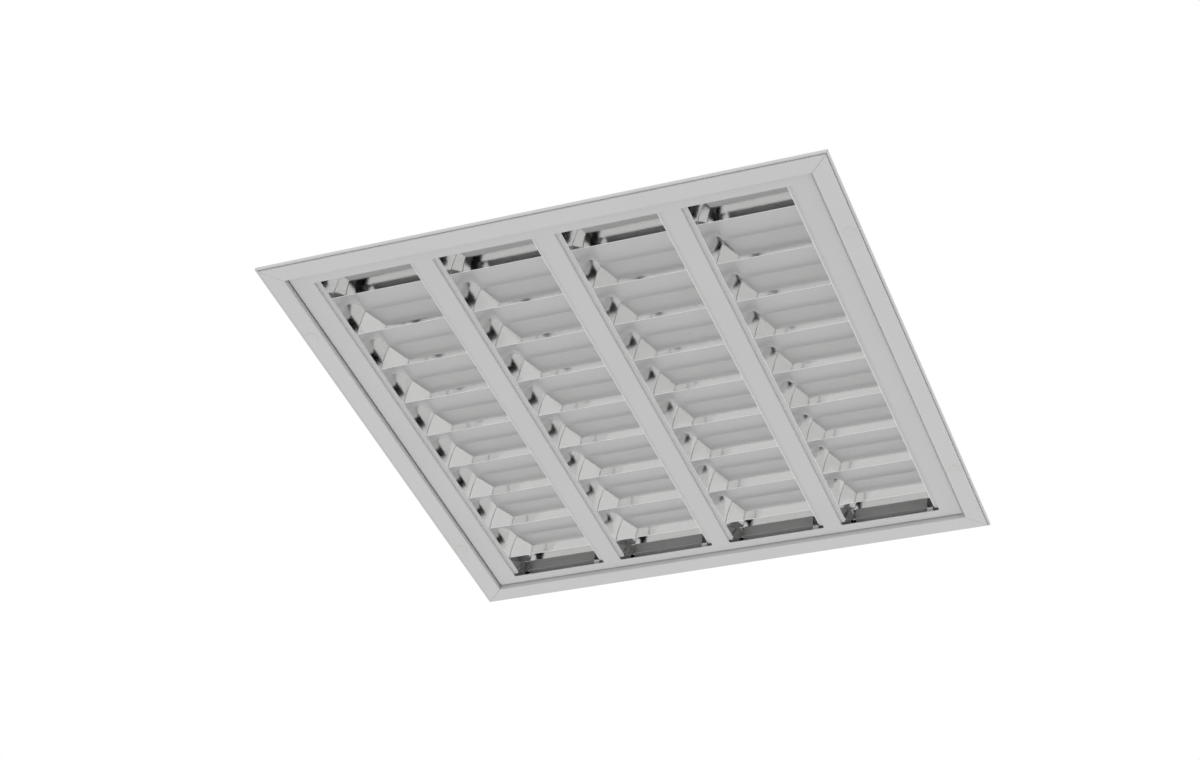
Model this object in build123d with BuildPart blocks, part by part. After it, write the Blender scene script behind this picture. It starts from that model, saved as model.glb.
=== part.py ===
"""Recessed troffer light: a louvred luminaire in a mitred trim frame for a plasterboard ceiling.

Millimetres. The origin is the centre of the ceiling opening, with z = 0 at the ceiling's
underside. +Z points up into the ceiling void, and the light leaves towards -Z. The slots of
the louvre panel run along Y, and the panel is hinged on the left, at -X.
"""
import os
from math import cos, radians, sin, sqrt

from build123d import *

os.makedirs("parts", exist_ok=True)

# ---------------------------------------------------------------- trim frame
opening = 600.0  # clear opening between the upstands: one ceiling module
flange_width = 24.0
flange_thickness = 2.0
flange_drop = 4.5  # visible face of the flange below the ceiling
lip_thickness = 1.6
flange_edge_radius = 0.5
rim_width_step = 3.0  # outer rim, set back from the flange's visible face
rim_set_back = 1.6
rim_groove = 1.0  # shadow groove between the flange and the rim
rim_web = 0.8  # sheet over the groove
mitre_gap = 0.3
upstand_thickness = 1.8
upstand_height = 30.0  # above the ceiling's underside
groove_foot = 2.0  # underside of the cleat groove above the ceiling's underside
groove_height = 12.0
groove_depth = 2.3
groove_wall = 1.2
groove_mouth = 7.6
slide_gap = 0.15  # play of a cleat or bracket in the groove
cleat_leg = 45.0
cleat_thickness = 2.0
cleat_screw_radius = 1.5
cleat_screw_from_corner = 30.0
seal_width = 2.2
seal_thickness = 0.9
seal_gap = 0.4  # between the seal and the lip

# ---------------------------------------------------------------- clamps
clamp_along = 207.0  # along the side, from its middle
clamp_out = 12.0  # from the opening to the clamp screw's axis
access_radius = 5.0  # hole in the flange below the screw's head
cap_radius = 7.0
cap_thickness = 0.8
cap_skirt_wall = 1.0
cap_skirt_depth = 2.2
screw_radius = 2.0
running_clearance = 0.05
screw_head_radius = 4.0
screw_head_height = 2.4
bracket_sheet = 1.5
bracket_width = 18.0
bracket_foot = 1.0  # underside of the lower tab above the ceiling's underside
bracket_height = 48.0
bracket_reach = 4.5  # of the tabs beyond the screw's axis
screw_tip = 3.0  # above the upper tab
arm_boss_radius = 4.5
arm_boss_height = 10.0
arm_length = 30.0
arm_width = 9.0
arm_sheet = 2.5
arm_toe = 6.5  # drop of the bent toe
arm_head_gap = 1.5  # between the parked boss and the upper tab

# ---------------------------------------------------------------- housing
body_gap = 2.5  # between the opening and the housing
sheet = 0.8
rim_level = 12.0
rim_width = 7.0
housing_level = 84.0  # top face
body_corner_radius = 3.0
bead_count = 4
bead_pitch = 104.0
bead_length = 380.0
bead_width = 24.0
bead_height = 2.5
suspension_pitch = 440.0
suspension_hole_radius = 3.25
fixing_along = 120.0
fixing_level = 23.0
fixing_screw_radius = 2.0
fixing_head_radius = 3.6
fixing_head_height = 2.2
fixing_tail = 6.0
spacer_radius = 4.5
inlet_along = -245.0
inlet_radius = 5.0
grommet_neck_radius = 8.0
grommet_lip_radius = 10.5
grommet_lip = 3.0

# ---------------------------------------------------------------- gear
tray_level = 51.5
tray_edge = 12.0
seat_gap = 0.3
tray_screw_along = 200.0
tray_screw_rise = 6.5
tray_screw_radius = 1.6
tray_screw_head_radius = 3.0
tray_screw_head_height = 1.8
tray_screw_tail = 2.0
board_width = 24.0
board_end_gap = 2.0  # inside the slot's end
board_thickness = 1.6
led_count = 14
led_size = 3.0
led_height = 0.7
diffuser_side_gap = 3.0  # inside the slot's long edge
diffuser_overhang = 6.0  # beyond the slot's end
diffuser_wall = 2.0
diffuser_level = 38.0  # lower face
diffuser_radius = 4.0
diffuser_edge_radius = 3.0
driver_length = 350.0
driver_width = 30.0
driver_height = 21.0
driver_ear = 9.0
driver_ear_thickness = 3.0
gear_screw_radius = 1.5
gear_screw_head_radius = 2.8
gear_screw_head_height = 1.6
terminal_length = 46.0
terminal_width = 26.0
terminal_height = 16.0
terminal_poles = 5
terminal_port = 6.0
terminal_gap = 18.0  # from the driver's ear
earth_along = -170.0
earth_plate = 14.0

# ---------------------------------------------------------------- louvre panel
panel_recess = 4.5  # visible face of the panel above the flange's visible face
panel_gap = 1.2  # between the opening and the louvre panel
panel_edge = 8.0
panel_bend_radius = 3.0
panel_corner_radius = 3.5
louvre_count = 4
slot_pitch = 141.8
slot_width = 120.0
slot_end_margin = 16.0  # from the slot's end to the opening
slot_corner_radius = 2.0
ledge_width = 5.0  # joggled strip along the slot that carries the reflector
ledge_rise = 3.0
hinge_inset = 4.5
hinge_rise = 5.0  # pin axis above the panel's visible face
hinge_along = 200.0
pin_radius = 1.5
pin_head_radius = 2.3
pin_head = 0.7
pin_press_clearance = 0.02
ear_radius = 3.2
ear_thickness = 1.5
hinge_gap = 0.3
knuckle_thickness = 2.5
knuckle_arm = 3.4
knuckle_foot = 10.0
knuckle_foot_thickness = 1.2
notch_width = 15.0
notch_rise = 3.2
catch_along = 200.0
catch_width = 12.0
catch_leaf = 0.5
keeper_inset = 10.5  # from the panel's right edge to the keeper's stem
keeper_rise = 8.8
keeper_hook = 3.0
catch_reach = 4.8  # from the keeper's stem back to the leaf

# ---------------------------------------------------------------- louvre
reflector_hem = 3.0
reflector_sheet = 0.6
reflector_inset = 8.5  # how far the reflector's top stands inside its foot
reflector_lean = 9.0  # degrees off upright at the foot
louvre_level = 32.0  # top of the reflectors
reflector_flange = 6.0
end_gap = 3.0  # between the slot's end and the end plate
end_sheet = 0.6
end_foot = 8.0
end_rise = 16.5  # lower edge of the end plate's leaning leg
end_post = 7.0
blade_count = 9
blade_end_gap = 1.85  # half a pitch beyond the last blade ends this far inside the slot
blade_rise = 5.0  # lower edge above the panel's visible face
blade_spread = 5.3  # of each leg of the folded blade, from its lower edge to its top
blade_lean = 11.0  # degrees off upright at the lower edge
blade_sheet = 0.5
blade_clearance = 0.8
blade_ear = 5.0
blade_ear_sheet = 0.6
blade_ear_lap = 2.0  # of the ear over the blade's own legs

# ---------------------------------------------------------------- derived places
half_opening = opening / 2
outer = opening + 2 * flange_width
half_outer = outer / 2
flange_level = -flange_drop
plate_level = flange_level + flange_thickness
half_flange = half_outer - rim_width_step
rim_foot = flange_level + rim_set_back
rim_top = -seal_thickness
groove_top = groove_foot + 2 * groove_wall + groove_height
groove_back = half_opening + upstand_thickness
groove_face = groove_back + groove_depth + groove_wall
clamp_x = half_opening + clamp_out
body = opening - 2 * body_gap
half_body = body / 2
half_panel = half_opening - panel_gap
slot_length = opening - 2 * slot_end_margin
inner_half_body = half_body - sheet
panel_level = flange_level + panel_recess
panel_top = panel_level + sheet
hinge_x = -half_body + hinge_inset
hinge_level = panel_level + hinge_rise
ledge_level = panel_level + ledge_rise
reflector_level = ledge_level + sheet + reflector_sheet / 2
half_mouth = slot_width / 2 - ledge_width - reflector_sheet
half_throat = half_mouth - reflector_inset
half_louvre = slot_length / 2 - end_gap
ledge_length = slot_length - 2 * slot_corner_radius
ledge_middle = (slot_width - ledge_width) / 2
blade_level = panel_level + blade_rise
ear_level = louvre_level + reflector_sheet / 2
leg_top = ear_level + blade_ear_sheet / 2
ear_half = half_throat + blade_ear
blade_pitch = (slot_length - 2 * blade_end_gap) / blade_count
board_length = slot_length - 2 * board_end_gap
led_pitch = board_length / led_count
diffuser_width = slot_width - 2 * diffuser_side_gap
diffuser_length = slot_length + 2 * diffuser_overhang
terminal_along = -(driver_length / 2 + driver_ear + terminal_gap + terminal_width / 2)
louvre_x = [slot_pitch * (k - (louvre_count - 1) / 2) for k in range(louvre_count)]


def save(piece, name):
    """Label a finished piece and write it as one node."""
    piece.label = name
    export_step(piece, f"parts/{name}.step")


def wall(x0, z0, x1, z1):
    """A rectangle of a cross-section between two opposite corners."""
    with Locations(((x0 + x1) / 2, (z0 + z1) / 2)):
        Rectangle(x1 - x0, z1 - z0)


def screw(shank_radius, length, head_radius, head_height):
    """A screw along +Z: its head is below z = 0 and its shank above."""
    with BuildPart() as piece:
        with BuildSketch(Plane.XZ):
            with BuildLine():
                Polyline(
                    (0, -head_height),
                    (head_radius - 0.5, -head_height),
                    (head_radius, -head_height + 0.7),
                    (head_radius, 0),
                    (shank_radius, 0),
                    (shank_radius, length),
                    (0, length),
                    close=True,
                )
            make_face()
        revolve(axis=Axis.Z)
    return piece.part


# ================================================================ trim frame
def trim_side(with_clamps):
    """The right-hand profile: flange, lip, upstand and cleat groove, mitred at both ends."""
    with BuildPart() as side:
        with BuildSketch(Plane.XZ) as section:
            wall(half_opening, flange_level, half_flange, plate_level)
            fillet(section.vertices().group_by(Axis.Y)[0], radius=flange_edge_radius)
            wall(half_flange - lip_thickness, plate_level, half_flange, rim_top)
            wall(half_flange - lip_thickness, rim_top - rim_web, half_outer, rim_top)
            wall(half_flange + rim_groove, rim_foot, half_outer, 0)
            wall(half_opening, plate_level, groove_back, upstand_height)
            wall(groove_back, groove_foot, groove_face, groove_foot + groove_wall)
            wall(groove_back, groove_top - groove_wall, groove_face, groove_top)
            hook = (groove_top - groove_foot - groove_mouth) / 2
            wall(groove_face - groove_wall, groove_foot, groove_face, groove_foot + hook)
            wall(groove_face - groove_wall, groove_top - hook, groove_face, groove_top)
        extrude(amount=half_outer, both=True)
        split(bisect_by=Plane(origin=(mitre_gap / sqrt(2), 0, 0), z_dir=(1, -1, 0)))
        split(bisect_by=Plane(origin=(mitre_gap / sqrt(2), 0, 0), z_dir=(1, 1, 0)))
        with BuildSketch(Plane.YZ.offset(half_opening)):
            with GridLocations(2 * fixing_along, 0, 2, 1), Locations((0, fixing_level)):
                Circle(fixing_screw_radius + running_clearance)
        extrude(amount=upstand_thickness, mode=Mode.SUBTRACT)
        if with_clamps:
            with BuildSketch(Plane.XY.offset(flange_level)):
                with Locations((clamp_x, -clamp_along), (clamp_x, clamp_along)):
                    Circle(access_radius)
            extrude(amount=flange_thickness, mode=Mode.SUBTRACT)
    return side.part


for name, turn in (("right", 0), ("far", 90), ("left", 180), ("near", 270)):
    side = trim_side(with_clamps=turn % 180 == 0)
    save(side.rotate(Axis.Z, turn), f"trim_{name}")

# Corner cleats: flat angles that slide into the grooves of two profiles at each mitre.
cleat_inner = groove_back + slide_gap
cleat_foot = groove_foot + groove_wall + slide_gap
cleat_height = groove_height - 2 * slide_gap
cleat_screw_at = half_outer - cleat_screw_from_corner
with BuildPart() as cleat:
    with BuildSketch(Plane.XY.offset(cleat_foot)) as angle:
        outer_corner = cleat_inner + cleat_thickness
        wall(outer_corner - cleat_leg, cleat_inner, outer_corner, outer_corner)
        wall(cleat_inner, outer_corner - cleat_leg, outer_corner, outer_corner)
    extrude(amount=cleat_height)
    with BuildSketch(Plane.YZ.offset(cleat_inner)):
        with Locations((cleat_screw_at, cleat_foot + cleat_height / 2)):
            Circle(cleat_screw_radius + running_clearance)
    extrude(amount=cleat_thickness, mode=Mode.SUBTRACT)
    with BuildSketch(Plane.XZ.offset(-cleat_inner)):
        with Locations((cleat_screw_at, cleat_foot + cleat_height / 2)):
            Circle(cleat_screw_radius + running_clearance)
    extrude(amount=-cleat_thickness, mode=Mode.SUBTRACT)
with BuildPart() as corner_cleats:
    for turn in range(4):
        add(cleat.part.rotate(Axis.Z, 90 * turn))
save(corner_cleats.part, "corner_cleats")

# Set screws press each cleat leg off the upstand and so pull the mitre tight.
with BuildPart() as cleat_screws:
    for turn in range(4):
        for flip in (-1, 1):
            with BuildSketch(Plane.YZ.offset(groove_back)) as spot:
                with Locations((flip * cleat_screw_at, cleat_foot + cleat_height / 2)):
                    Circle(cleat_screw_radius)
            pin = extrude(spot.sketch, amount=groove_depth + groove_wall, mode=Mode.PRIVATE)
            add(pin.rotate(Axis.Z, 90 * turn))
save(cleat_screws.part, "cleat_screws")

# Foam seal on the outer rim, flush with the lip: the ceiling board rests on it.
seal_half = half_flange + rim_groove - seal_gap
with BuildPart() as ceiling_seal:
    with BuildSketch(Plane.XY.offset(rim_top)):
        Rectangle(2 * seal_half, 2 * seal_half)
        inner = 2 * (seal_half - seal_width)
        Rectangle(inner, inner, mode=Mode.SUBTRACT)
    extrude(amount=-rim_top)
save(ceiling_seal.part, "ceiling_seal")


# ================================================================ clamps
clamp_places = (
    ("near_right", (clamp_x, -clamp_along), 0),
    ("far_right", (clamp_x, clamp_along), 0),
    ("near_left", (-clamp_x, -clamp_along), 180),
    ("far_left", (-clamp_x, clamp_along), 180),
)
bracket_back = groove_face - clamp_x + slide_gap  # web, measured from the screw's axis
tongue_back = cleat_inner - clamp_x

# Bracket: a U of sheet with a tongue in the profile's groove; its tabs carry the screw.
with BuildPart() as bracket:
    with BuildSketch(Plane.XZ) as bent_sheet:
        top = bracket_foot + bracket_height
        web_out = bracket_back + bracket_sheet
        wall(bracket_back, bracket_foot, web_out, top)
        wall(bracket_back, bracket_foot, bracket_reach, bracket_foot + bracket_sheet)
        wall(bracket_back, top - bracket_sheet, bracket_reach, top)
    extrude(amount=bracket_width / 2, both=True)
    with BuildSketch(Plane.XZ):
        mouth_foot = (groove_foot + groove_top - groove_mouth) / 2 + slide_gap
        mouth_top = (groove_foot + groove_top + groove_mouth) / 2 - slide_gap
        wall(tongue_back, mouth_foot, bracket_back, mouth_top)
        wall(tongue_back, cleat_foot, tongue_back + cleat_thickness, cleat_foot + cleat_height)
    extrude(amount=bracket_width / 2 - 2, both=True)
    with Locations((0, 0, bracket_foot)):
        Cylinder(
            screw_radius + running_clearance,
            bracket_height,
            align=(Align.CENTER, Align.CENTER, Align.MIN),
            mode=Mode.SUBTRACT,
        )

# Clamp screw: its head hangs below the lower tab, and a collar above the tab holds it there.
with BuildPart() as clamp_screw:
    shank_top = bracket_foot + bracket_height + screw_tip
    collar_foot = bracket_foot + bracket_sheet + hinge_gap
    with Locations((0, 0, bracket_foot - hinge_gap)):
        add(
            screw(
                screw_radius,
                shank_top - bracket_foot + hinge_gap,
                screw_head_radius,
                screw_head_height,
            )
        )
    with Locations((0, 0, collar_foot)):
        Cylinder(
            screw_radius + 1.2,
            1.0,
            align=(Align.CENTER, Align.CENTER, Align.MIN),
        )

# Clamp arm: threaded boss, flat arm with a bent toe, shown parked along the frame (-Y).
arm_top = bracket_foot + bracket_height - bracket_sheet - arm_head_gap
arm_foot = arm_top - arm_boss_height
with BuildPart() as clamp_arm:
    with Locations((0, 0, arm_foot)):
        Cylinder(
            arm_boss_radius,
            arm_boss_height,
            align=(Align.CENTER, Align.CENTER, Align.MIN),
        )
    with BuildSketch(Plane.YZ):
        wall(-arm_length, arm_top - arm_sheet, 0, arm_top)
        wall(-arm_length, arm_top - arm_sheet - arm_toe, -arm_length + arm_sheet, arm_top)
    extrude(amount=arm_width / 2, both=True)
    fillet(clamp_arm.edges().filter_by(Axis.X).sort_by(Axis.Y)[:2].sort_by(Axis.Z)[-1], radius=2)
    with Locations((0, 0, arm_foot)):
        Cylinder(
            screw_radius + running_clearance,
            arm_boss_height,
            align=(Align.CENTER, Align.CENTER, Align.MIN),
            mode=Mode.SUBTRACT,
        )

for name, (x, y), turn in clamp_places:
    place = Location((x, y, 0), (0, 0, turn))
    for piece, kind in ((bracket, "bracket"), (clamp_screw, "screw"), (clamp_arm, "arm")):
        save(piece.part.moved(place), f"clamp_{kind}_{name}")

# Caps: shallow discs whose skirts snap into the access holes.
with BuildPart() as cap:
    with BuildSketch(Plane.XZ):
        with BuildLine():
            low = flange_level - cap_thickness
            skirt_out = access_radius - running_clearance
            Polyline(
                (0, low),
                (cap_radius - cap_thickness, low),
                (cap_radius, flange_level),
                (skirt_out, flange_level),
                (skirt_out, flange_level + cap_skirt_depth),
                (skirt_out - cap_skirt_wall, flange_level + cap_skirt_depth),
                (skirt_out - cap_skirt_wall, flange_level),
                (0, flange_level),
                close=True,
            )
        make_face()
    revolve(axis=Axis.Z)
with BuildPart() as screw_caps:
    for name, (x, y), turn in clamp_places:
        with Locations((x, y, 0)):
            add(cap.part)
save(screw_caps.part, "screw_caps")


# ================================================================ housing
with BuildPart() as housing:
    with BuildSketch(Plane.XY.offset(rim_level)):
        RectangleRounded(body, body, body_corner_radius)
    extrude(amount=housing_level - rim_level)
    offset(amount=-sheet, openings=housing.faces().sort_by(Axis.Z)[0])
    with BuildSketch(Plane.XY.offset(rim_level)):
        RectangleRounded(body, body, body_corner_radius)
        Rectangle(body - 2 * rim_width, body - 2 * rim_width, mode=Mode.SUBTRACT)
    extrude(amount=sheet)
    with BuildSketch(Plane.XY.offset(housing_level)):
        with GridLocations(bead_pitch, 0, bead_count, 1):
            SlotOverall(bead_length, bead_width, rotation=90)
    extrude(amount=bead_height)
    with BuildSketch(Plane.XY.offset(housing_level - sheet)):
        with GridLocations(bead_pitch, 0, bead_count, 1):
            SlotOverall(bead_length - 2 * sheet, bead_width - 2 * sheet, rotation=90)
    extrude(amount=bead_height, mode=Mode.SUBTRACT)
    with BuildSketch(Plane.XY.offset(housing_level - sheet)):
        with GridLocations(suspension_pitch, suspension_pitch, 2, 2):
            Circle(suspension_hole_radius)
        with Locations((0, inlet_along)):
            Circle(grommet_neck_radius)
    extrude(amount=sheet, mode=Mode.SUBTRACT)
    for plane in (Plane.YZ, Plane.XZ):
        with BuildSketch(plane):
            with Locations((-fixing_along, fixing_level), (fixing_along, fixing_level)):
                Circle(fixing_screw_radius + running_clearance)
        extrude(amount=body, both=True, mode=Mode.SUBTRACT)
    with BuildSketch(Plane.YZ):
        with GridLocations(2 * tray_screw_along, 0, 2, 1):
            with Locations((0, tray_level + tray_screw_rise)):
                Circle(tray_screw_radius + running_clearance)
    extrude(amount=body, both=True, mode=Mode.SUBTRACT)
save(housing.part, "housing")

# Side screws hold the housing in the trim frame, through spacers that fill the gap.
fixing_screw = screw(
    fixing_screw_radius,
    upstand_thickness + body_gap + fixing_tail,
    fixing_head_radius,
    fixing_head_height,
)
with BuildPart() as housing_screws:
    for turn in range(4):
        for along in (-fixing_along, fixing_along):
            place = Location((groove_back, along, fixing_level), (0, -90, 0))
            add(fixing_screw.moved(place).rotate(Axis.Z, 90 * turn))
save(housing_screws.part, "housing_screws")

with BuildPart() as spacer:
    with BuildSketch(Plane.YZ.offset(half_body)):
        with Locations((-fixing_along, fixing_level), (fixing_along, fixing_level)):
            Circle(spacer_radius)
            Circle(fixing_screw_radius + running_clearance, mode=Mode.SUBTRACT)
    extrude(amount=body_gap)
with BuildPart() as housing_spacers:
    for turn in range(4):
        add(spacer.part.rotate(Axis.Z, 90 * turn))
save(housing_spacers.part, "housing_spacers")

# Rubber grommet in the cable inlet.
with BuildPart() as cable_grommet:
    with BuildSketch(Plane.XZ):
        with BuildLine():
            top = housing_level + grommet_lip
            low = housing_level - sheet - grommet_lip
            Polyline(
                (inlet_radius, low),
                (grommet_lip_radius, low),
                (grommet_lip_radius, housing_level - sheet),
                (grommet_neck_radius, housing_level - sheet),
                (grommet_neck_radius, housing_level),
                (grommet_lip_radius, housing_level),
                (grommet_lip_radius - 1.5, top),
                (inlet_radius, top),
                close=True,
            )
        make_face()
    revolve(axis=Axis.Z)
save(cable_grommet.part.moved(Location((0, inlet_along, 0))), "cable_grommet")


# ================================================================ gear
tray_half = inner_half_body - seat_gap
with BuildPart() as gear_tray:
    with BuildSketch(Plane.XY.offset(tray_level)):
        RectangleRounded(2 * tray_half, 2 * tray_half, body_corner_radius)
    extrude(amount=tray_edge)
    offset(amount=-sheet, openings=gear_tray.faces().sort_by(Axis.Z)[-1])
    with BuildSketch(Plane.YZ):
        with GridLocations(2 * tray_screw_along, 0, 2, 1):
            with Locations((0, tray_level + tray_screw_rise)):
                Circle(tray_screw_radius + running_clearance)
    extrude(amount=body, both=True, mode=Mode.SUBTRACT)
save(gear_tray.part, "gear_tray")

# Side screws hold the tray's upturned edges to the housing.
tray_screw_length = sheet + seat_gap + sheet + tray_screw_tail
tray_screw = screw(
    tray_screw_radius, tray_screw_length, tray_screw_head_radius, tray_screw_head_height
)
with BuildPart() as gear_tray_screws:
    for side_turn in (0, 180):
        for along in (-tray_screw_along, tray_screw_along):
            place = Location((half_body, along, tray_level + tray_screw_rise), (0, -90, 0))
            add(tray_screw.moved(place).rotate(Axis.Z, side_turn))
save(gear_tray_screws.part, "gear_tray_screws")

# LED board: a metal-core strip with its row of emitters facing down.
with BuildPart() as led_board:
    with BuildSketch(Plane.XY.offset(tray_level)):
        Rectangle(board_width, board_length)
    extrude(amount=-board_thickness)
    with BuildSketch(Plane.XY.offset(tray_level - board_thickness)):
        with GridLocations(0, led_pitch, 1, led_count):
            Rectangle(led_size, led_size)
    extrude(amount=-led_height)

# Opal diffuser: a shallow trough that closes the board off, seated on the gear tray.
with BuildPart() as diffuser:
    with BuildSketch(Plane.XY.offset(diffuser_level)):
        RectangleRounded(diffuser_width, diffuser_length, diffuser_radius)
    extrude(amount=tray_level - diffuser_level)
    fillet(diffuser.faces().sort_by(Axis.Z)[0].edges(), radius=diffuser_edge_radius)
    offset(amount=-diffuser_wall, openings=diffuser.faces().sort_by(Axis.Z)[-1])

for k, x in enumerate(louvre_x, start=1):
    save(led_board.part.moved(Location((x, 0, 0))), f"led_board_{k}")
    save(diffuser.part.moved(Location((x, 0, 0))), f"diffuser_{k}")

gear_level = tray_level + sheet
with BuildPart() as led_driver:
    with BuildSketch(Plane.XY.offset(gear_level)):
        RectangleRounded(driver_width, driver_length, 2)
    extrude(amount=driver_height)
    chamfer(led_driver.faces().sort_by(Axis.Z)[-1].edges(), length=1.5)
    with BuildSketch(Plane.XY.offset(gear_level)):
        SlotOverall(driver_length + 2 * driver_ear, driver_width / 2, rotation=90)
    extrude(amount=driver_ear_thickness)
    with BuildSketch(Plane.XY.offset(gear_level)):
        with GridLocations(0, driver_length + driver_ear, 1, 2):
            Circle(gear_screw_radius + running_clearance)
    extrude(amount=driver_ear_thickness, mode=Mode.SUBTRACT)
save(led_driver.part, "led_driver")

gear_screw = screw(
    gear_screw_radius,
    driver_ear_thickness,
    gear_screw_head_radius,
    gear_screw_head_height,
)
with BuildPart() as driver_screws:
    for along in (-1, 1):
        level = gear_level + driver_ear_thickness
        place = Location((0, along * (driver_length + driver_ear) / 2, level), (180, 0, 0))
        add(gear_screw.moved(place))
save(driver_screws.part, "driver_screws")

with BuildPart() as terminal_block:
    with BuildSketch(Plane.XY.offset(gear_level)):
        with Locations((0, terminal_along)):
            Rectangle(terminal_length, terminal_width)
    extrude(amount=terminal_height)
    chamfer(terminal_block.faces().sort_by(Axis.Z)[-1].edges(), length=2)
    with BuildSketch(Plane.XZ.offset(-terminal_along + terminal_width / 2)):
        pitch = terminal_length / terminal_poles
        with Locations((0, gear_level + terminal_height / 2)):
            with GridLocations(pitch, 0, terminal_poles, 1):
                Rectangle(terminal_port, terminal_port)
    extrude(amount=-terminal_width / 3, mode=Mode.SUBTRACT)
save(terminal_block.part, "terminal_block")

with BuildPart() as earth_terminal:
    with BuildSketch(Plane.XY.offset(gear_level)):
        with Locations((terminal_length, earth_along)):
            Rectangle(earth_plate, earth_plate)
    extrude(amount=sheet)
    with BuildSketch(Plane.XY.offset(gear_level + sheet)):
        with Locations((terminal_length, earth_along)):
            RegularPolygon(gear_screw_head_radius + 1, 6)
    extrude(amount=gear_screw_head_height + 1)
save(earth_terminal.part, "earth_terminal")


# ================================================================ hinges and catches
def knuckle_outline(radius):
    """A round eye about the hinge axis."""
    with Locations((hinge_x, hinge_level)):
        Circle(radius)


for name, along in (("near", -hinge_along), ("far", hinge_along)):
    with BuildPart() as hinge_bracket:
        middle = Plane.XZ.offset(-along)
        with BuildSketch(middle):
            knuckle_outline(ear_radius)
            arm_left = hinge_x - knuckle_arm / 2 + 0.5
            wall(arm_left, hinge_level, arm_left + knuckle_arm, rim_level)
        extrude(amount=knuckle_thickness / 2, both=True)
        with BuildSketch(middle):
            wall(arm_left, rim_level - knuckle_foot_thickness, arm_left + knuckle_arm, rim_level)
        extrude(amount=knuckle_foot / 2, both=True)
        with BuildSketch(middle):
            knuckle_outline(pin_radius + running_clearance)
        extrude(amount=knuckle_thickness / 2, both=True, mode=Mode.SUBTRACT)
    save(hinge_bracket.part, f"hinge_bracket_{name}")

keeper_x = half_body - keeper_inset
leaf_x = keeper_x - catch_reach
for name, along in (("near", -catch_along), ("far", catch_along)):
    with BuildPart() as catch:
        with BuildSketch(Plane.XZ.offset(-along)):
            with BuildLine():
                seat = rim_level + sheet + catch_leaf / 2
                hook_level = panel_level + keeper_rise
                Polyline(
                    (inner_half_body - seat_gap, seat),
                    (leaf_x, seat),
                    (leaf_x, hook_level - 0.2),
                    (leaf_x + keeper_hook, hook_level - 2.2),
                    (leaf_x + 0.4, hook_level - 4.6),
                )
            trace(line_width=catch_leaf)
        extrude(amount=catch_width / 2, both=True)
    save(catch.part, f"catch_spring_{name}")


# ================================================================ louvre panel
with BuildPart() as louvre_panel:
    with BuildSketch(Plane.XY.offset(panel_level)):
        RectangleRounded(2 * half_panel, 2 * half_panel, panel_corner_radius)
    extrude(amount=panel_edge)
    fillet(louvre_panel.faces().sort_by(Axis.Z)[0].edges(), radius=panel_bend_radius)
    offset(amount=-sheet, openings=louvre_panel.faces().sort_by(Axis.Z)[-1])
    with BuildSketch(Plane.XY.offset(panel_level)):
        with GridLocations(slot_pitch, 0, louvre_count, 1):
            with Locations((-(slot_width + sheet) / 2, 0), ((slot_width + sheet) / 2, 0)):
                Rectangle(sheet, ledge_length)
    extrude(amount=ledge_rise + sheet)
    with BuildSketch(Plane.XY.offset(ledge_level)):
        with GridLocations(slot_pitch, 0, louvre_count, 1):
            with Locations((-ledge_middle, 0), (ledge_middle, 0)):
                Rectangle(ledge_width, ledge_length)
    extrude(amount=sheet)
    with BuildSketch(Plane.XY.offset(panel_level)):
        with GridLocations(slot_pitch, 0, louvre_count, 1):
            RectangleRounded(slot_width, slot_length, slot_corner_radius)
    extrude(amount=sheet, mode=Mode.SUBTRACT)
    for along in (-hinge_along, hinge_along):
        for side_of_knuckle in (-1, 1):
            gap = knuckle_thickness / 2 + hinge_gap + ear_thickness / 2
            with BuildSketch(Plane.XZ.offset(-along - side_of_knuckle * gap)):
                knuckle_outline(ear_radius)
                wall(hinge_x - ear_radius + 0.6, panel_top, hinge_x + ear_radius, hinge_level)
            extrude(amount=ear_thickness / 2, both=True)
        with BuildSketch(Plane.XZ.offset(-along)):
            knuckle_outline(pin_radius + pin_press_clearance)
        extrude(amount=knuckle_foot / 2, both=True, mode=Mode.SUBTRACT)
        with BuildSketch(Plane.XZ.offset(-along)):
            wall(-half_panel, panel_level + notch_rise, -half_panel + sheet, panel_level + panel_edge)
        extrude(amount=notch_width / 2, both=True, mode=Mode.SUBTRACT)
    for along in (-catch_along, catch_along):
        with BuildSketch(Plane.XZ.offset(-along)):
            hook_level = panel_level + keeper_rise
            wall(keeper_x - sheet / 2, panel_top, keeper_x + sheet / 2, hook_level + sheet / 2)
            wall(keeper_x - keeper_hook, hook_level - sheet / 2, keeper_x, hook_level + sheet / 2)
        extrude(amount=catch_width / 2, both=True)
save(louvre_panel.part, "louvre_panel")

# Hinge pins: pressed in the panel's ears, free in the knuckles.
pin_half = knuckle_thickness / 2 + hinge_gap + ear_thickness
with BuildPart() as hinge_pins:
    for along in (-hinge_along, hinge_along):
        with BuildSketch(Plane.XZ.offset(-along)):
            knuckle_outline(pin_radius)
        extrude(amount=pin_half + pin_head, both=True)
        for side_of_knuckle in (-1, 1):
            middle = pin_half + pin_head / 2
            with BuildSketch(Plane.XZ.offset(-along - side_of_knuckle * middle)):
                knuckle_outline(pin_head_radius)
            extrude(amount=pin_head / 2, both=True)
save(hinge_pins.part, "hinge_pins")


# ================================================================ louvres
def mirror_curve(half_foot, half_top, side_of_louvre):
    """The reflector's curve from a foot to a top, on one side of the louvre."""
    lean = radians(reflector_lean)
    TangentArc(
        (side_of_louvre * half_foot, reflector_level),
        (side_of_louvre * half_top, louvre_level),
        tangent=(-side_of_louvre * sin(lean), cos(lean)),
    )


def leg_curve(middle, side_of_fold):
    """One leg of a folded blade, from its lower edge up and outwards."""
    lean = radians(blade_lean)
    TangentArc(
        (middle, blade_level),
        (middle + side_of_fold * blade_spread, leg_top),
        tangent=(side_of_fold * sin(lean), cos(lean)),
    )


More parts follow.
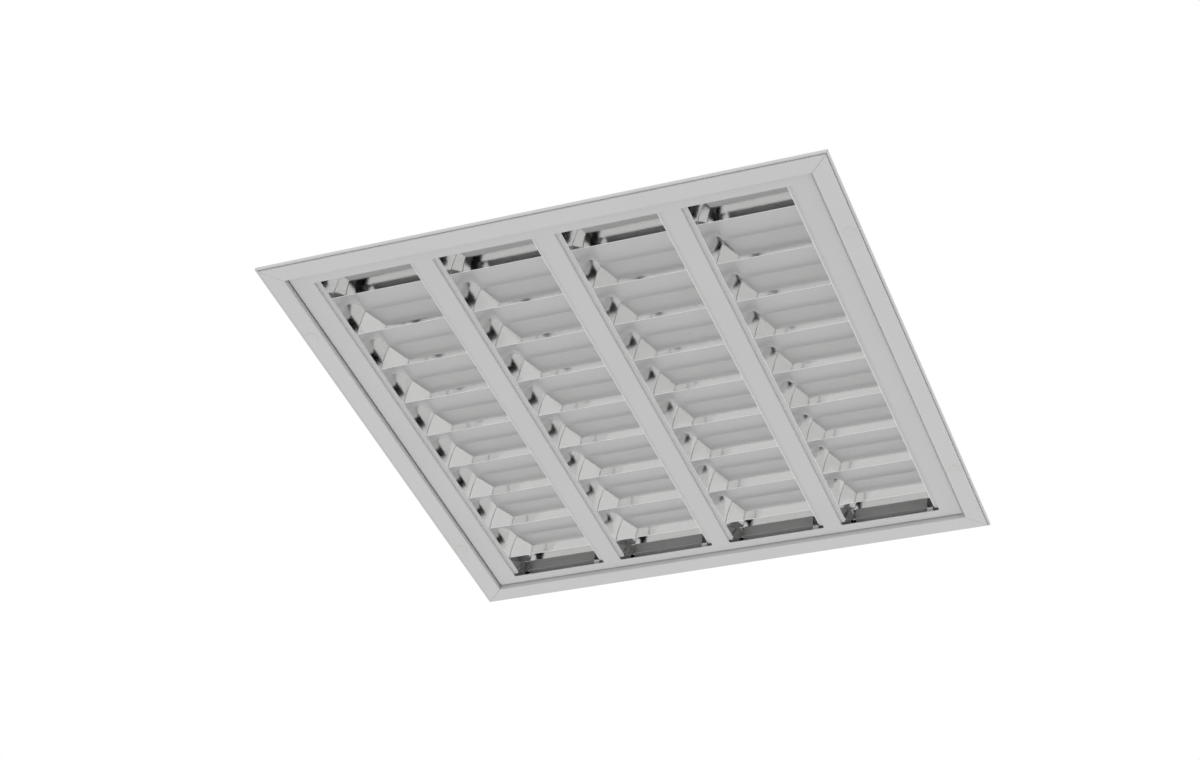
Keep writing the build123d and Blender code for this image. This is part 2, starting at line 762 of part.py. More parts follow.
# Right-hand reflector: hem on the ledge, a curve that leans in, and a top flange.
with BuildPart() as reflector:
    with BuildSketch(Plane.XZ):
        with BuildLine():
            Line((half_mouth + reflector_hem, reflector_level), (half_mouth, reflector_level))
            mirror_curve(half_mouth, half_throat, 1)
            Line((half_throat, louvre_level), (half_throat + reflector_flange, louvre_level))
        trace(line_width=reflector_sheet)
    extrude(amount=half_louvre, both=True)

# The room between two reflectors: it trims the blades and the end plates to their curve.
with BuildPart() as louvre_room:
    with BuildSketch(Plane.XZ):
        with BuildLine():
            foot_half = half_mouth - blade_clearance
            top_half = half_throat - blade_clearance
            Line((-foot_half, reflector_level), (-foot_half, panel_level))
            Line((-foot_half, panel_level), (foot_half, panel_level))
            Line((foot_half, panel_level), (foot_half, reflector_level))
            mirror_curve(foot_half, top_half, 1)
            Line((top_half, louvre_level), (top_half, leg_top))
            Line((top_half, leg_top), (-top_half, leg_top))
            Line((-top_half, leg_top), (-top_half, louvre_level))
            mirror_curve(foot_half, top_half, -1)
        make_face()
    extrude(amount=half_panel, both=True)

# Cross blade: a folded V, hung from the reflectors by an ear at each end.
with BuildPart() as blade:
    with BuildSketch(Plane.YZ):
        for side_of_fold in (-1, 1):
            with BuildLine():
                leg_curve(0, side_of_fold)
            trace(line_width=blade_sheet)
    extrude(amount=half_mouth, both=True)
    add(louvre_room.part, mode=Mode.INTERSECT)
    with BuildSketch(Plane.XY.offset(ear_level)):
        for side_of_louvre in (-1, 1):
            inner_x = side_of_louvre * (top_half - blade_ear_lap)
            outer_x = side_of_louvre * ear_half
            half_ear = blade_spread + blade_sheet / 2
            wall(min(inner_x, outer_x), -half_ear, max(inner_x, outer_x), half_ear)
    extrude(amount=blade_ear_sheet)

# Far end plate: the upper half of a blade's leg, open below, whose top folds outwards over the
# reflectors and stands on the panel with two posts.
with BuildPart() as end_plate:
    with BuildSketch(Plane.YZ):
        with BuildLine():
            leg_curve(half_louvre, -1)
        trace(line_width=end_sheet)
    extrude(amount=half_mouth, both=True)
    add(louvre_room.part, mode=Mode.INTERSECT)
    split(bisect_by=Plane.XY.offset(end_rise))
    with BuildSketch(Plane.XY.offset(ear_level)):
        foot_end = half_louvre + end_foot
        wall(-ear_half, half_louvre - blade_spread - end_sheet / 2, ear_half, foot_end)
    extrude(amount=blade_ear_sheet)
    with BuildSketch(Plane.XY.offset(panel_top)):
        wall(-ear_half, foot_end - end_sheet, end_post - ear_half, foot_end)
        wall(ear_half - end_post, foot_end - end_sheet, ear_half, foot_end)
    extrude(amount=ear_level - panel_top)

for k, x in enumerate(louvre_x, start=1):
    place = Location((x, 0, 0))
    save(reflector.part.moved(place), f"reflector_right_{k}")
    save(reflector.part.rotate(Axis.Z, 180).moved(place), f"reflector_left_{k}")
    with BuildPart() as end_plates:
        for turn in (0, 180):
            add(end_plate.part.rotate(Axis.Z, turn).moved(place))
    save(end_plates.part, f"end_plates_{k}")
    with BuildPart() as blades:
        with Locations(place):
            with GridLocations(0, blade_pitch, 1, blade_count):
                add(blade.part)
    save(blades.part, f"blades_{k}")
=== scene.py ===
import math

import bpy
from mathutils import Matrix, Vector


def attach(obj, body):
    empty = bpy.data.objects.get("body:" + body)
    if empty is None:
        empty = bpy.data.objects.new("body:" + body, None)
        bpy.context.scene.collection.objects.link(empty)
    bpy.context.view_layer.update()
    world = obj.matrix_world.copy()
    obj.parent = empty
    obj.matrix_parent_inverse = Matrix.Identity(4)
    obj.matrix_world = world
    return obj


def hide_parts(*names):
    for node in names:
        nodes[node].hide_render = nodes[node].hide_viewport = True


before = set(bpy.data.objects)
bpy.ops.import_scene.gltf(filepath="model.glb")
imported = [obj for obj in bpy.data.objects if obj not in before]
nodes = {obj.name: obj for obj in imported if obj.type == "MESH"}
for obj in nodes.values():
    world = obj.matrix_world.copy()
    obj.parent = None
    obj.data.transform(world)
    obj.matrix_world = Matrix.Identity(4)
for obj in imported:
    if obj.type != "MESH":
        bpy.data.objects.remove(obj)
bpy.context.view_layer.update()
MM = 0.001

# ---------------------------------------------------------------- trim frame
# Four mitred lengths of one extruded aluminium profile, powder coated in a satin white. The
# coat is even, with a fine orange-peel texture that only shows where light grazes it, and a
# trace of handling dust.


class Flow:
    """One output of a material's nodes, so that a material reads as plain sums."""

    def __init__(self, tree, socket):
        self.tree = tree
        self.socket = socket

    def node(self, kind, values, output=0, **settings):
        """Any other node, from its type, its settings, and values or links for its inputs."""
        made = self.tree.nodes.new(kind)
        for key, value in settings.items():
            setattr(made, key, value)
        for key, value in values.items():
            self.feed(made.inputs[key], value)
        return Flow(self.tree, made.outputs[output])

    def feed(self, entry, value):
        if isinstance(value, Flow):
            self.tree.links.new(value.socket, entry)
        else:
            entry.default_value = value

    def math(self, operation, first, second=0.0):
        return self.node("ShaderNodeMath", {0: first, 1: second}, operation=operation)

    def __add__(self, other):
        return self.math("ADD", self, other)

    def __radd__(self, other):
        return self.math("ADD", other, self)

    def __sub__(self, other):
        return self.math("SUBTRACT", self, other)

    def __rsub__(self, other):
        return self.math("SUBTRACT", other, self)

    def __mul__(self, other):
        return self.math("MULTIPLY", self, other)

    def __rmul__(self, other):
        return self.math("MULTIPLY", other, self)

    def step(self, low, high):
        """0 below low and 1 above high, with a smooth change between."""
        values = {"Value": self, "From Min": low, "From Max": high}
        return self.node("ShaderNodeMapRange", values, interpolation_type="SMOOTHSTEP")

    def mix(self, low, high):
        """A colour between two colours, with this value as the share of the second."""
        values = {0: self, 6: low, 7: high}
        return self.node("ShaderNodeMix", values, output=2, data_type="RGBA")

    def noise(self, scale, detail=2.0, rough=0.5):
        """Noise at this place, with its spots about 1/scale metres across."""
        values = {"Vector": self, "Scale": scale, "Detail": detail, "Roughness": rough}
        return self.node("ShaderNodeTexNoise", values)

    def stretched(self, x, y, z):
        """The same place, drawn out along the axes with small factors."""
        return self.node("ShaderNodeVectorMath", {0: self, 1: (x, y, z)}, operation="MULTIPLY")

    def part(self, axis):
        """One coordinate of this place, in metres."""
        return self.node("ShaderNodeSeparateXYZ", {0: self}, output=axis)

    def relief(self, height, distance):
        """A normal from a height of 0 to 1 that stands for this many metres."""
        values = {"Height": height, "Distance": distance, "Strength": 1.0}
        return self.node("ShaderNodeBump", values)


def new_finish(name, **plain):
    """A material with plain values on its shader, and the place in metres to build on."""
    made = bpy.data.materials.new(name)
    made.use_nodes = True
    shader = made.node_tree.nodes["Principled BSDF"]
    for key, value in plain.items():
        shader.inputs[key.replace("_", " ")].default_value = value
    spot = made.node_tree.nodes.new("ShaderNodeTexCoord")
    return made, shader, Flow(made.node_tree, spot.outputs["Object"])


def powder_coat(name, clean, dusty, grain, gloss):
    """Satin powder coat: fine orange peel, a faint cloudiness and a trace of dust."""
    made, shader, place = new_finish(name, IOR=1.5)
    peel = place.noise(grain, 3.0)
    clouds = place.noise(9.0, 3.0)
    specks = place.noise(1600.0, 0.0).step(0.70, 0.76)
    dust = clouds.step(0.35, 0.75) * 0.5 + specks * 0.12
    place.feed(shader.inputs["Base Color"], dust.mix(clean, dusty))
    place.feed(shader.inputs["Roughness"], gloss + clouds * 0.08 + peel * 0.06)
    place.feed(shader.inputs["Normal"], place.relief(peel, 0.000012))
    return made


def dress(finish, *names):
    """Give whole nodes of the model one finish."""
    for name in names:
        for entry in nodes[name].material_slots:
            entry.material = finish


frame_paint = powder_coat(
    "frame_paint", (0.612, 0.612, 0.611, 1), (0.590, 0.589, 0.586, 1), 1400.0, 0.34
)
dress(frame_paint, "trim_right", "trim_far", "trim_left", "trim_near")

# ---------------------------------------------------------------- mitre fixings
# Inside each mitre, an angle of zinc-plated steel slides in both profiles' grooves, and two
# socket set screws press it off the upstand. The cleats are stamped, so their faces are dull
# and streaked, with the crystals of the plating just visible.


def plated_steel(name, light, dark, streak, rough):
    """Zinc-plated steel: drawn streaks, small bright crystals and a patchy passivation."""
    made, shader, place = new_finish(name, Metallic=1.0)
    drawn = place.stretched(*streak).noise(60.0, 4.0, 0.6)
    crystals = place.noise(420.0, 2.0)
    patches = place.noise(35.0, 3.0)
    tint = drawn * 0.5 + patches.step(0.3, 0.7) * 0.35
    place.feed(shader.inputs["Base Color"], tint.mix(light, dark))
    place.feed(shader.inputs["Roughness"], rough + crystals * 0.12 + patches * 0.10)
    place.feed(shader.inputs["Normal"], place.relief(drawn + crystals * 0.5, 0.00001))
    return made


zinc = plated_steel("zinc_plate", (0.70, 0.70, 0.69, 1), (0.50, 0.51, 0.52, 1), (1, 1, 4), 0.24)
dress(zinc, "corner_cleats")

THREAD_STEPS = 12


def add_thread(core, crest, pitch, foot, top):
    """A helical thread along +Z: a ridge swept round a core by the Screw modifier."""
    turns = (top - foot) / pitch - 1
    shape = bpy.data.meshes.new("thread")
    ridge = [(core, 0, 0), (crest, 0, pitch * 0.42), (crest, 0, pitch * 0.58), (core, 0, pitch)]
    shape.from_pydata([(x, y, z + foot) for x, y, z in ridge], [(0, 1), (1, 2), (2, 3)], [])
    thread = bpy.data.objects.new("thread", shape)
    bpy.context.scene.collection.objects.link(thread)
    sweep = thread.modifiers.new("sweep", "SCREW")
    sweep.axis = "Z"
    sweep.angle = 2 * math.pi
    sweep.screw_offset = pitch
    sweep.iterations = max(1, int(turns))
    sweep.steps = THREAD_STEPS
    sweep.use_merge_vertices = True
    sweep.merge_threshold = 1e-6
    apply_all(thread)
    return thread


def apply_all(thing):
    """Select one object alone and apply its modifiers in order."""
    bpy.ops.object.select_all(action="DESELECT")
    thing.select_set(True)
    bpy.context.view_layer.objects.active = thing
    for modifier in list(thing.modifiers):
        bpy.ops.object.modifier_apply(modifier=modifier.name)


def join_all(things, name):
    """Join objects to one named piece with its origin at the frame's."""
    bpy.ops.object.select_all(action="DESELECT")
    for thing in things:
        thing.select_set(True)
    bpy.context.view_layer.objects.active = things[0]
    if len(things) > 1:
        bpy.ops.object.join()
    piece = bpy.context.object
    bpy.ops.object.transform_apply(location=True, rotation=True, scale=True)
    bpy.ops.object.mode_set(mode="EDIT")
    bpy.ops.mesh.select_all(action="SELECT")
    bpy.ops.mesh.remove_doubles(threshold=1e-6)
    bpy.ops.mesh.normals_make_consistent(inside=False)
    bpy.ops.object.mode_set(mode="OBJECT")
    bpy.ops.object.shade_smooth_by_angle(angle=math.radians(32))
    piece.name = name
    piece.data.name = name
    return piece


def add_round(radius, foot, top, sides, chamfer):
    """A turned cylinder along Z with both rims chamfered."""
    bpy.ops.object.select_all(action="DESELECT")
    middle = (0, 0, (foot + top) / 2)
    bpy.ops.mesh.primitive_cylinder_add(
        vertices=sides, radius=radius, depth=top - foot, location=middle
    )
    turned = bpy.context.object
    edge = turned.modifiers.new("edge", "BEVEL")
    edge.width = chamfer
    edge.segments = 2
    edge.limit_method = "ANGLE"
    edge.angle_limit = math.radians(50)
    apply_all(turned)
    return turned


def add_recess(body, size, floor, foot, arms):
    """Cut a cross (two arms) or a hexagonal socket (none) into a head's lower face."""
    cutters = []
    depth = floor - foot
    for turn in range(arms):
        bpy.ops.mesh.primitive_cube_add(size=1, location=(0, 0, foot + depth / 2))
        arm = bpy.context.object
        arm.scale = (size * 2, size * 0.42, depth) if turn else (size * 0.42, size * 2, depth)
        bpy.ops.object.transform_apply(location=True, rotation=False, scale=True)
        cutters.append(arm)
    if not arms:
        middle = (0, 0, foot + depth / 2)
        bpy.ops.mesh.primitive_cylinder_add(vertices=6, radius=size, depth=depth, location=middle)
        cutters.append(bpy.context.object)
    for cutter in cutters:
        cut = body.modifiers.new("recess", "BOOLEAN")
        cut.operation = "DIFFERENCE"
        cut.solver = "EXACT"
        cut.object = cutter
        apply_all(body)
        bpy.data.objects.remove(cutter)


def spread(master, name, places):
    """Copies of a piece at several places, joined to one piece; each copy has its own mesh."""
    copies = []
    for place in places:
        copy = master.copy()
        copy.data = master.data.copy()
        copy.data.transform(place)
        bpy.context.scene.collection.objects.link(copy)
        copies.append(copy)
    return join_all(copies, name)


def quarter(turn):
    """This many quarter turns about +Z."""
    return Matrix.Rotation(turn * math.pi / 2, 4, "Z")


SET_SCREW = 1.5 * MM
SET_LENGTH = 3.5 * MM
SET_FACE = 301.8 * MM
SET_ALONG = 294 * MM
SET_LEVEL = 9.2 * MM
set_body = add_round(SET_SCREW * 0.86, 0, SET_LENGTH, 24, 0.12 * MM)
add_recess(set_body, 0.75 * MM, 1.6 * MM, -0.2 * MM, 0)
set_thread = add_thread(SET_SCREW * 0.84, SET_SCREW, 0.5 * MM, 0.2 * MM, SET_LENGTH - 0.2 * MM)
set_master = join_all([set_body, set_thread], "set_master")
face_out = Matrix.Rotation(math.pi / 2, 4, "Y")
set_places = [
    quarter(turn) @ Matrix.Translation((SET_FACE, flip * SET_ALONG, SET_LEVEL)) @ face_out
    for turn in range(4)
    for flip in (-1, 1)
]
set_screws = spread(set_master, "set_screws", set_places)
bpy.data.objects.remove(set_master)
set_screws.data.materials.append(zinc)
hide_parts("cleat_screws")
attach(set_screws, "fixture")

# ---------------------------------------------------------------- ceiling seal
# A closed-cell foam strip stuck on the outer rim. Its skin is fine and dimpled where cells
# reach the surface, and it is a little grubby along its length.
seal_finish, seal_shader, place = new_finish("seal_foam", Roughness=0.9)
cells = place.node(
    "ShaderNodeTexVoronoi", {"Vector": place, "Scale": 900.0}, feature="SMOOTH_F1"
)
grubby = place.noise(25.0, 4.0).step(0.4, 0.8)
seal_tone = grubby.mix((0.60, 0.60, 0.59, 1), (0.45, 0.44, 0.42, 1))
place.feed(seal_shader.inputs["Base Color"], seal_tone)
place.feed(seal_shader.inputs["Normal"], place.relief(cells, 0.0003))
dress(seal_finish, "ceiling_seal")

# ---------------------------------------------------------------- clamps
# Each side clamp is a bent steel bracket with a long screw through its tabs; the swing arm has
# a threaded boss. All are zinc plated. The screw has a cross recess, a collar and a rolled
# thread, and the white snap caps below it are moulded.
clamp_zinc = plated_steel(
    "clamp_plate", (0.66, 0.66, 0.64, 1), (0.46, 0.47, 0.47, 1), (4, 1, 1), 0.28
)
arm_zinc = plated_steel(
    "arm_plate", (0.62, 0.62, 0.61, 1), (0.42, 0.43, 0.44, 1), (1, 5, 1), 0.30
)
corners = ("near_right", "far_right", "near_left", "far_left")
for corner in corners:
    dress(clamp_zinc, f"clamp_bracket_{corner}")
    dress(arm_zinc, f"clamp_arm_{corner}")

CLAMP_X = 312 * MM
CLAMP_Y = 207 * MM
JACK_HEAD = 4.0 * MM
JACK_COLLAR = 3.2 * MM
JACK_SCREW = 2.0 * MM
JACK_TOP = 52 * MM
head = add_round(JACK_HEAD, -1.7 * MM, 0.7 * MM, 40, 0.45 * MM)
add_recess(head, 2.2 * MM, -0.1 * MM, -2.2 * MM, 2)
core = add_round(1.66 * MM, 0.6 * MM, JACK_TOP, 24, 0.3 * MM)
collar = add_round(JACK_COLLAR, 2.8 * MM, 3.8 * MM, 32, 0.15 * MM)
rolled = add_thread(1.62 * MM, JACK_SCREW, 0.9 * MM, 4.4 * MM, 51.4 * MM)
clamp_master = join_all([head, core, collar, rolled], "clamp_master")
for corner in corners:
    x = CLAMP_X if "right" in corner else -CLAMP_X
    y = CLAMP_Y if "far" in corner else -CLAMP_Y
    seat = Matrix.Translation((x, y, 0))
    clamp_screw = spread(clamp_master, f"jack_screw_{corner}", [seat])
    clamp_screw.data.materials.append(clamp_zinc)
    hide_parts(f"clamp_screw_{corner}")
    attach(clamp_screw, f"screw_{corner}")
bpy.data.objects.remove(clamp_master)

cap_finish = powder_coat(
    "cap_plastic", (0.610, 0.610, 0.600, 1), (0.585, 0.580, 0.570, 1), 2600.0, 0.40
)
dress(cap_finish, "screw_caps")

# ---------------------------------------------------------------- housing
# A folded box of coil-coated steel sheet with four pressed beads and a turned-in rim. The coat
# is thin and glossier than powder, with faint rolling lines, some dust on top and light scuffs
# from carriage.
coat, coat_shader, place = new_finish("housing_paint", IOR=1.5)
rolling = place.stretched(1, 0.04, 1).noise(700.0, 2.0)
dusty = place.noise(5.0, 6.0, 0.7).step(0.30, 0.80)
upward = place.node("ShaderNodeNewGeometry", {}, output="Normal").part("Z").step(0.5, 0.9)
scuffs = place.stretched(1, 7, 3).noise(45.0, 6.0, 0.7).step(0.66, 0.71)
scuffed = (scuffs * 0.5).mix((0.56, 0.56, 0.555, 1), (0.40, 0.40, 0.395, 1))
settled = (dusty * upward * 0.3).mix(scuffed, (0.46, 0.45, 0.43, 1))
place.feed(coat_shader.inputs["Base Color"], settled)
place.feed(coat_shader.inputs["Roughness"], 0.30 + dusty * upward * 0.25 + scuffs * 0.15)
place.feed(coat_shader.inputs["Normal"], place.relief(rolling, 0.000006))
dress(coat, "housing")

# ---------------------------------------------------------------- housing screws
# Eight pan-head screws hold the housing in the frame through plain plastic spacers, and four
# smaller ones hold the gear tray. They are zinc plated, with cross recesses.


def pan_screw(radius, length, head_radius, head_height, pitch):
    """A pan-head screw along +Z with its head below z = 0."""
    cap = add_round(head_radius, -head_height, 0, 36, head_height * 0.3)
    add_recess(cap, head_radius * 0.52, -head_height * 0.35, -head_height * 1.2, 2)
    shank = add_round(radius * 0.84, -0.1 * MM, length, 20, radius * 0.3)
    ridge = add_thread(radius * 0.82, radius, pitch, 0.3 * MM, length - 0.3 * MM)
    return join_all([cap, shank, ridge], "pan_master")


FIXING_FACE = 301.8 * MM
FIXING_ALONG = 120 * MM
FIXING_LEVEL = 23 * MM
TRAY_FACE = 297.5 * MM
TRAY_ALONG = 200 * MM
TRAY_LEVEL = 58 * MM
inward = Matrix.Rotation(-math.pi / 2, 4, "Y")
fixing_master = pan_screw(2.0 * MM, 10.3 * MM, 3.6 * MM, 2.2 * MM, 0.8 * MM)
fixing_places = [
    quarter(turn) @ Matrix.Translation((FIXING_FACE, along, FIXING_LEVEL)) @ inward
    for turn in range(4)
    for along in (-FIXING_ALONG, FIXING_ALONG)
]
fixing_screws = spread(fixing_master, "fixing_screws", fixing_places)
bpy.data.objects.remove(fixing_master)
tray_master = pan_screw(1.6 * MM, 3.9 * MM, 3.0 * MM, 1.8 * MM, 0.6 * MM)
tray_places = [
    quarter(turn) @ Matrix.Translation((TRAY_FACE, along, TRAY_LEVEL)) @ inward
    for turn in (0, 2)
    for along in (-TRAY_ALONG, TRAY_ALONG)
]
tray_screws = spread(tray_master, "tray_screws", tray_places)
bpy.data.objects.remove(tray_master)
for screws, node in ((fixing_screws, "housing_screws"), (tray_screws, "gear_tray_screws")):
    screws.data.materials.append(zinc)
    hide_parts(node)
    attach(screws, "fixture")

spacer_finish, spacer_shader, place = new_finish("spacer_plastic", Roughness=0.5)
flow_marks = place.noise(300.0, 3.0)
spacer_tone = flow_marks.mix((0.50, 0.50, 0.48, 1), (0.56, 0.56, 0.54, 1))
place.feed(spacer_shader.inputs["Base Color"], spacer_tone)
place.feed(spacer_shader.inputs["Roughness"], 0.42 + flow_marks * 0.2)
dress(spacer_finish, "housing_spacers")

# ---------------------------------------------------------------- cable grommet
# A black rubber grommet closes the cable inlet in the housing's top. It is matt, with a faint
# bloom and fine moulding grain.
rubber, rubber_shader, place = new_finish("grommet_rubber")
bloom = place.noise(220.0, 4.0, 0.6)
rubber_tone = bloom.mix((0.018, 0.018, 0.018, 1), (0.050, 0.050, 0.049, 1))
place.feed(rubber_shader.inputs["Base Color"], rubber_tone)
place.feed(rubber_shader.inputs["Roughness"], 0.62 + bloom * 0.25)
place.feed(rubber_shader.inputs["Normal"], place.relief(place.noise(3500.0, 2.0), 0.00002))
dress(rubber, "cable_grommet")

# ---------------------------------------------------------------- gear
# On a coated steel tray lie the driver in its plastic case, the terminal block and the earth
# terminal; four boards with their rows of emitters hang below it. The case is sparked, the
# boards are white with yellow phosphor on the emitters.
tray_finish = powder_coat("tray_paint", (0.68, 0.68, 0.67, 1), (0.62, 0.62, 0.60, 1), 900.0, 0.30)
dress(tray_finish, "gear_tray")


def moulded(name, light, dark, grain, rough):
    """Moulded plastic with a fine sparked texture and faint flow marks."""
    made, shader, place = new_finish(name)
    spark = place.noise(grain, 2.0)
    drift = place.noise(40.0, 3.0)
    place.feed(shader.inputs["Base Color"], drift.mix(light, dark))
    place.feed(shader.inputs["Roughness"], rough + spark * 0.15)
    place.feed(shader.inputs["Normal"], place.relief(spark, 0.00003))
    return made


dress(
    moulded("driver_case", (0.66, 0.66, 0.64, 1), (0.60, 0.60, 0.58, 1), 1800.0, 0.45),
    "led_driver",
)
dress(
    moulded("terminal_plastic", (0.58, 0.58, 0.56, 1), (0.52, 0.52, 0.50, 1), 2200.0, 0.38),
    "terminal_block",
)
dress(zinc, "earth_terminal")

DRIVER_ALONG = 179.5 * MM
DRIVER_LEVEL = 55.3 * MM
driver_master = pan_screw(1.5 * MM, 3.0 * MM, 2.8 * MM, 1.6 * MM, 0.5 * MM)
driver_places = [
    Matrix.Translation((0, along, DRIVER_LEVEL)) @ Matrix.Rotation(math.pi, 4, "X")
    for along in (-DRIVER_ALONG, DRIVER_ALONG)
]
driver_screws = spread(driver_master, "driver_fixings", driver_places)
bpy.data.objects.remove(driver_master)
driver_screws.data.materials.append(zinc)
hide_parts("driver_screws")
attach(driver_screws, "fixture")

EMITTER_EDGE = (49.86 * MM, 49.90 * MM)
board, board_shader, place = new_finish("board_laminate")
emitter = 1 - place.part("Z").step(*EMITTER_EDGE)
mask_tone = place.noise(180.0, 2.0).mix((0.72, 0.72, 0.70, 1), (0.66, 0.66, 0.65, 1))
lit_tone = emitter.mix(mask_tone, (0.80, 0.62, 0.16, 1))
place.feed(board_shader.inputs["Base Color"], lit_tone)
place.feed(board_shader.inputs["Roughness"], 0.35 + emitter * 0.35)
dress(board, *(f"led_board_{k}" for k in range(1, 5)))

# ---------------------------------------------------------------- opal diffusers
# Vacuum-formed troughs of opal acrylic over the boards. Each glows faintly and evenly: painted
# light that keeps it evenly bright in its recess, where it would otherwise lie in shade. Its base
# colour is kept dark so that the shade on it stays faint. The sheet is satin, with a very fine
# texture.
opal, opal_shader, place = new_finish("opal_diffuser", Roughness=0.5, IOR=1.49)
haze = place.noise(30.0, 3.0)
# The emission is painted light that fills in the shade inside the recess. It is not the lamp's
# own light.
opal_shader.inputs["Emission Strength"].default_value = 1.0
opal_tone = haze.mix((0.225, 0.225, 0.225, 1), (0.235, 0.235, 0.234, 1))
painted_even_glow = haze.mix((0.278, 0.278, 0.277, 1), (0.288, 0.288, 0.287, 1))
place.feed(opal_shader.inputs["Base Color"], opal_tone)
place.feed(opal_shader.inputs["Emission Color"], painted_even_glow)
place.feed(opal_shader.inputs["Roughness"], 0.45 + place.noise(2400.0, 1.0) * 0.12)
place.feed(opal_shader.inputs["Normal"], place.relief(place.noise(1500.0, 2.0), 0.00001))
dress(opal, *(f"diffuser_{k}" for k in range(1, 5)))

# ---------------------------------------------------------------- hinges and catches
# Stamped hinge brackets, turned pins and two leaf springs of hardened strip hold the louvre
# panel. The springs are blued slightly along their length by hardening.
dress(zinc, "hinge_bracket_near", "hinge_bracket_far", "hinge_pins")
strip, strip_shader, place = new_finish("spring_strip", Metallic=1.0)
heat = place.noise(90.0, 2.0).step(0.35, 0.7)
brushed = place.stretched(1, 0.05, 1).noise(900.0, 3.0)
strip_tone = heat.mix((0.50, 0.49, 0.47, 1), (0.36, 0.37, 0.42, 1))
place.feed(strip_shader.inputs["Base Color"], strip_tone)
place.feed(strip_shader.inputs["Roughness"], 0.22 + brushed * 0.16)
place.feed(strip_shader.inputs["Normal"], place.relief(brushed, 0.000006))
dress(strip, "catch_spring_near", "catch_spring_far")

# ---------------------------------------------------------------- louvre panel
# The hinged face of the light: one folded pan of sheet steel with four long slots and joggled
# ledges. Its powder coat is the frame's white and slightly smoother, and its colour is painted a
# little darker than the frame's, as shade over the recessed panel.
# The lower colour values are painted shade: a shaded copy of the frame's white coat.
panel_paint = powder_coat(
    "panel_paint", (0.582, 0.582, 0.581, 1), (0.563, 0.562, 0.559, 1), 1700.0, 0.32
)
dress(panel_paint, "louvre_panel")

# ---------------------------------------------------------------- louvres
# Curved side reflectors, end plates and folded V blades of bright anodised aluminium sheet,
# nearly mirror-like. Rolling leaves very fine lines along each strip, and the anodic film
# dulls the reflections a little in drifting patches.


def bright_aluminium(name, streak, tint):
    """Bright anodised aluminium: fine rolling lines and a drifting film over a near mirror."""
    made, shader, place = new_finish(name, Metallic=1.0)
    rolled = place.stretched(*streak).noise(1300.0, 2.0)
    film = place.noise(28.0, 3.0)
    place.feed(shader.inputs["Base Color"], film.mix(tint, (0.845, 0.845, 0.842, 1)))
    place.feed(shader.inputs["Roughness"], 0.045 + film * 0.03 + rolled * 0.015)
    place.feed(shader.inputs["Normal"], place.relief(rolled, 0.0000006))
    return made


along_slot = bright_aluminium("reflector_aluminium", (1, 0.02, 1), (0.875, 0.875, 0.873, 1))
across_slot = bright_aluminium("blade_aluminium", (0.02, 1, 1), (0.870, 0.870, 0.868, 1))
for k in range(1, 5):
    dress(along_slot, f"reflector_left_{k}", f"reflector_right_{k}")
    dress(across_slot, f"end_plates_{k}", f"blades_{k}")

# ---------------------------------------------------------------- camera
# The photo is taken from below and from the near right, so the picture's top is the frame's
# near side. Place, aim, roll and lens were solved from the frame's edges in the photo.
CAMERA_AT = Vector((0.8896, -1.9815, -1.7594))
CAMERA_AIM = Vector((0.0354, -0.1027, -0.0387))
CAMERA_ROLL = 0.10195
CAMERA_LENS = 73.964
CAMERA_SHIFT = (-0.02798, -0.01204)
sight = (CAMERA_AIM - CAMERA_AT).normalized()
across = sight.cross(Vector((0, 0, 1))).normalized()
down = sight.cross(across)
rolled_across = across * math.cos(CAMERA_ROLL) - down * math.sin(CAMERA_ROLL)
rolled_down = across * math.sin(CAMERA_ROLL) + down * math.cos(CAMERA_ROLL)
camera = bpy.data.objects.new("camera", bpy.data.cameras.new("camera"))
bpy.context.scene.collection.objects.link(camera)
turned = Matrix((rolled_across, -rolled_down, -sight)).transposed()
camera.matrix_world = Matrix.Translation(CAMERA_AT) @ turned.to_4x4()
camera.data.lens = CAMERA_LENS
camera.data.sensor_width = 36
camera.data.shift_x, camera.data.shift_y = CAMERA_SHIFT
camera.data.clip_end = 80
bpy.context.scene.camera = camera

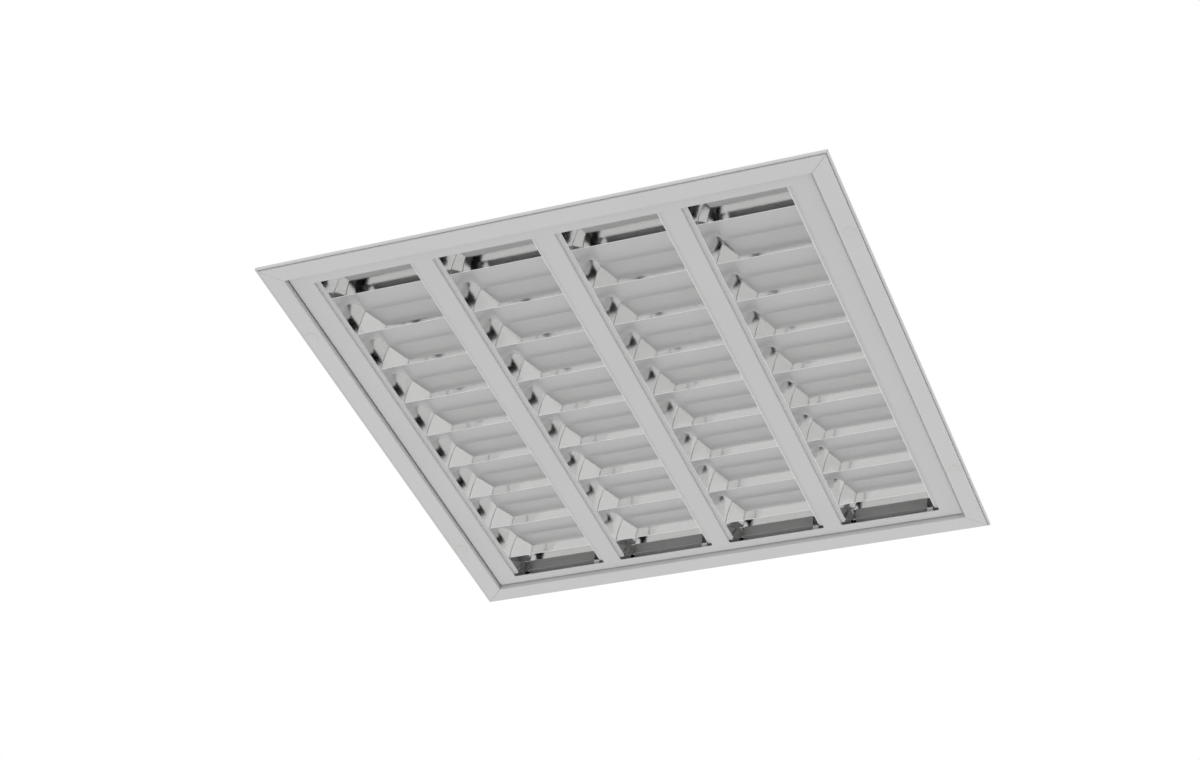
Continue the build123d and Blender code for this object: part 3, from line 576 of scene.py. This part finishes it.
# ---------------------------------------------------------------- ceiling
# The white plasterboard ceiling round the cut-out. It shows from below only, so that the
# housing can be seen from above.
CEILING_SIZE = 12
CEILING_LEVEL = 0.0002
CUT_OUT_HALF = 0.318
bpy.ops.object.select_all(action="DESELECT")
bpy.ops.mesh.primitive_plane_add(size=CEILING_SIZE, location=(0, 0, CEILING_LEVEL))
ceiling = bpy.context.object
ceiling.name = "ceiling"
bpy.ops.object.mode_set(mode="EDIT")
bpy.ops.mesh.select_all(action="SELECT")
bpy.ops.mesh.inset(thickness=CEILING_SIZE / 2 - CUT_OUT_HALF)
bpy.ops.mesh.delete(type="FACE")
bpy.ops.mesh.select_all(action="SELECT")
bpy.ops.mesh.flip_normals()
bpy.ops.object.mode_set(mode="OBJECT")
board_white, _, place = new_finish("ceiling_white")
behind = place.node("ShaderNodeNewGeometry", {}, output="Backfacing")
white = place.node("ShaderNodeEmission", {"Color": (1, 1, 1, 1)})
clear = place.node("ShaderNodeBsdfTransparent", {})
one_sided = place.node("ShaderNodeMixShader", {0: behind, 1: white, 2: clear})
place.feed(board_white.node_tree.nodes["Material Output"].inputs["Surface"], one_sided)
ceiling.data.materials.append(board_white)
ceiling.visible_diffuse = False
ceiling.visible_shadow = False

# ---------------------------------------------------------------- floor and light
# A plain pale floor far below and an even white studio on all sides, which the bright metal
# shows as the camera would see it.
FLOOR_SIZE = 60
FLOOR_LEVEL = -4.2
bpy.ops.mesh.primitive_plane_add(size=FLOOR_SIZE, location=(0, 0, FLOOR_LEVEL))
floor = bpy.context.object
floor.name = "floor"
floor_finish, floor_shader, place = new_finish("floor_pale", Roughness=0.7)
place.feed(
    floor_shader.inputs["Base Color"],
    place.noise(0.8, 3.0).mix((0.86, 0.86, 0.86, 1), (0.88, 0.88, 0.88, 1)),
)
floor.data.materials.append(floor_finish)

scene = bpy.context.scene
scene.view_settings.view_transform = "Standard"
studio = bpy.data.worlds.new("studio")
scene.world = studio
studio.use_nodes = True
studio.node_tree.nodes["Background"].inputs["Color"].default_value = (1, 1, 1, 1)
studio.node_tree.nodes["Background"].inputs["Strength"].default_value = 1.0
